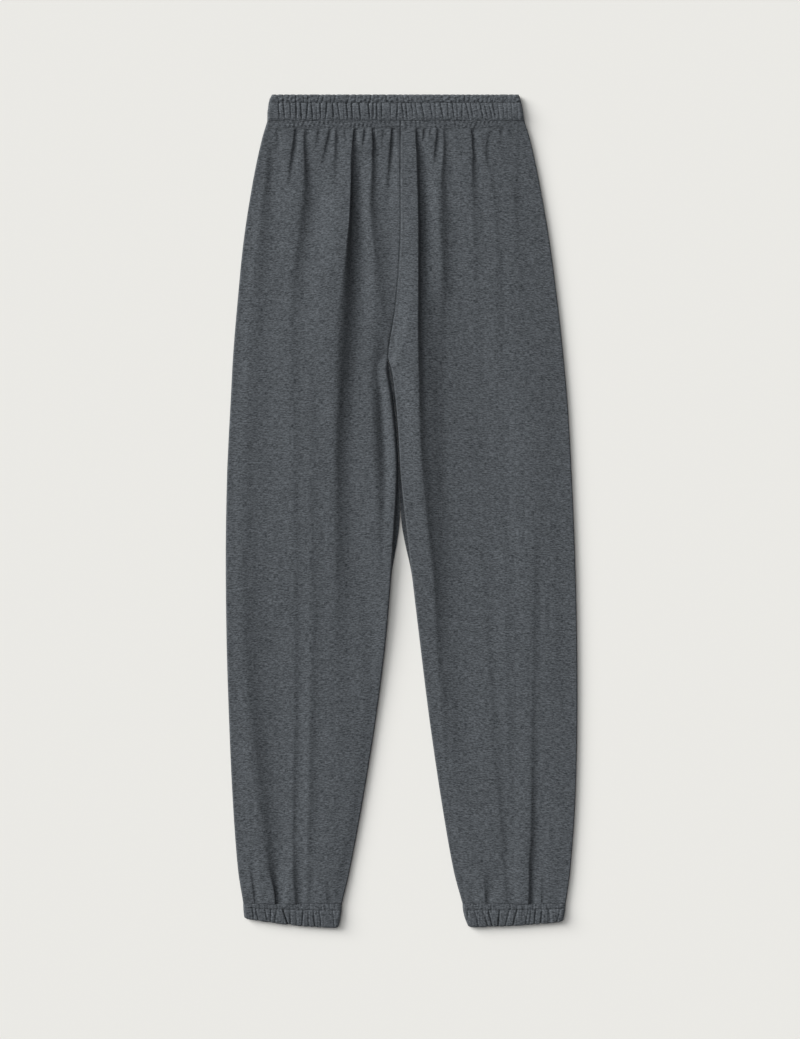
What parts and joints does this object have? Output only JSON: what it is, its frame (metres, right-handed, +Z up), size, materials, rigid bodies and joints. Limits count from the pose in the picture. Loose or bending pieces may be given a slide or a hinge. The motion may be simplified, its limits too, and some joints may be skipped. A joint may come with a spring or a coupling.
{
  "type": "jogger sweatpants",
  "caption": "Pull-on jogger sweatpants laid flat, with a gathered elastic waistband, long tapering legs and gathered elastic cuffs.",
  "frame": {"origin": "under the middle of the garment, on the surface that it lies on", "axes": "+Y from the cuffs to the waist, +Z up out of the cloth, +X to the right of someone who looks down at it with its waist away from them"},
  "size_m": [0.4384, 1.0384, 0.012],
  "materials": {
    "knit": "dark heather grey sweatshirt knit with a soft, dull face",
    "band_knit": "the same knit, doubled over elastic and gathered"
  },
  "bodies": {
    "root": {"front_left": "knit", "front_right": "knit", "back_left": "knit", "back_right": "knit", "waistband": "band_knit", "cuff_left": "band_knit", "cuff_right": "band_knit"}
  },
  "joints": []
}
